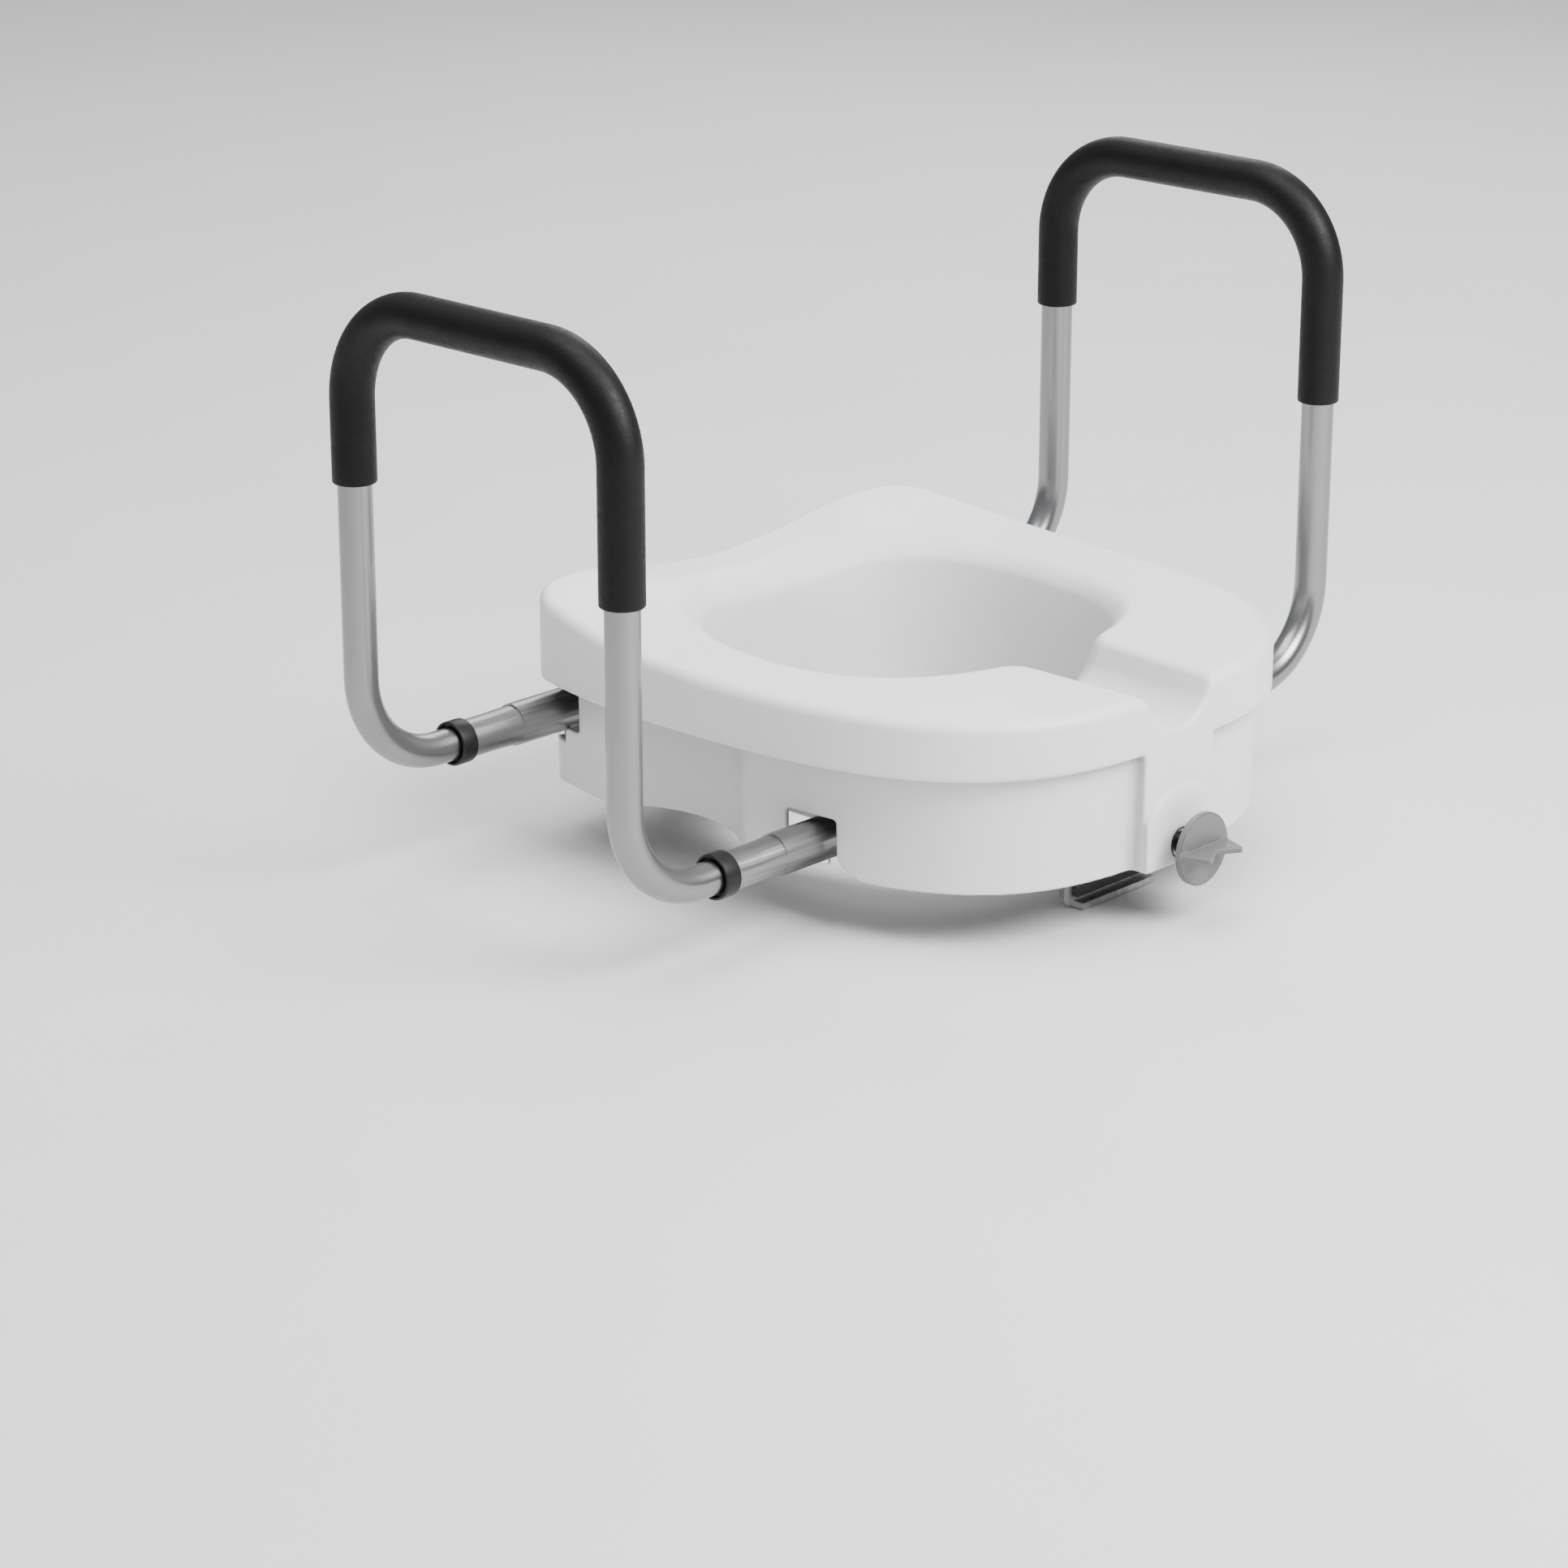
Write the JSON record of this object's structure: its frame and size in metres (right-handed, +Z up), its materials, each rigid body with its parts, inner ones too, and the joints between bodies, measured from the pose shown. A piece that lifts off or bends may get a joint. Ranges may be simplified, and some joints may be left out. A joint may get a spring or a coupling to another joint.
{
  "type": "raised toilet seat",
  "caption": "Raised toilet seat: contoured moulded seat with front access channel, screw clamp with wing knob, and pull-out padded tubular arms on both sides.",
  "frame": {"origin": "on the plane that rests on the toilet rim, on the symmetry plane, under the bowl opening", "axes": "+Z up, -Y towards the front (access channel and clamp knob), +X to the right when the seat is seen from the front"},
  "size_m": [0.7022, 0.4582, 0.4067],
  "materials": {
    "shell_plastic": "fine moulded texture, off-white",
    "arm_aluminium": "satin, drawn lengthwise",
    "receiver_aluminium": "satin",
    "grip_foam": "closed-cell foam, soft sheen",
    "collar_plastic": "fine moulded texture, black",
    "knob_plastic": "satin mid grey",
    "screw_black": "black oxide",
    "zinc_steel": "zinc plated",
    "button_steel": "bright plated",
    "bushing_nylon": "black nylon",
    "pad_rubber": "matt rubber"
  },
  "bodies": {
    "seat": {"seat_shell": "shell_plastic", "receiver_screws": "zinc_steel", "screw_bushing": "bushing_nylon", "rear_stops": "zinc_steel", "stop_pads": "pad_rubber", "stop_screws": "zinc_steel", "receiver_front_left": "receiver_aluminium", "receiver_rear_left": "receiver_aluminium", "receiver_front_right": "receiver_aluminium", "receiver_rear_right": "receiver_aluminium", "collar_front_left": "collar_plastic", "collar_rear_left": "collar_plastic", "collar_front_right": "collar_plastic", "collar_rear_right": "collar_plastic"},
    "arm_left": {"arm_tube_left": "arm_aluminium", "grip_left": "grip_foam", "snap_springs_left": "zinc_steel"},
    "button_front_left": {"snap_button_front_left": "button_steel"},
    "button_rear_left": {"snap_button_rear_left": "button_steel"},
    "arm_right": {"arm_tube_right": "arm_aluminium", "grip_right": "grip_foam", "snap_springs_right": "zinc_steel"},
    "button_front_right": {"snap_button_front_right": "button_steel"},
    "button_rear_right": {"snap_button_rear_right": "button_steel"},
    "clamp": {"clamp_plate": "zinc_steel", "clamp_nut": "zinc_steel", "clamp_pad": "pad_rubber"},
    "clamp_turn": {"knob": "knob_plastic", "clamp_screw": "screw_black", "screw_rings": "zinc_steel"}
  },
  "joints": [
    {"name": "arm_left_slide", "type": "slide", "parent": "seat", "child": "arm_left", "axis": [-1, 0, 0], "range_m": [0, 0.107], "deforming": ["snap_button_front_left", "snap_button_rear_left"]},
    {"name": "button_front_left_press", "type": "slide", "parent": "arm_left", "child": "button_front_left", "axis": [0, 0, 1], "range_m": [0, 0.0062], "deforming": ["snap_springs_left"]},
    {"name": "button_rear_left_press", "type": "slide", "parent": "arm_left", "child": "button_rear_left", "axis": [0, 0, 1], "range_m": [0, 0.0062]},
    {"name": "arm_right_slide", "type": "slide", "parent": "seat", "child": "arm_right", "axis": [1, 0, 0], "range_m": [0, 0.107], "deforming": ["snap_button_front_right", "snap_button_rear_right"]},
    {"name": "button_front_right_press", "type": "slide", "parent": "arm_right", "child": "button_front_right", "axis": [0, 0, 1], "range_m": [0, 0.0062], "deforming": ["snap_springs_right"]},
    {"name": "button_rear_right_press", "type": "slide", "parent": "arm_right", "child": "button_rear_right", "axis": [0, 0, 1], "range_m": [0, 0.0062]},
    {"name": "clamp_slide", "type": "slide", "parent": "seat", "child": "clamp", "axis": [0, -1, 0], "range_m": [-0.018, 0.022]},
    {"name": "knob_turn", "type": "hinge", "parent": "seat", "child": "clamp_turn", "pos_m": [0, -0.24, 0.013], "axis": [0, 1, 0], "range_deg": [-2160, 2640]}
  ],
  "couplings": [
    {"joint": "knob_turn", "follows": "clamp_slide", "rad_per_m": 2094.4}
  ]
}
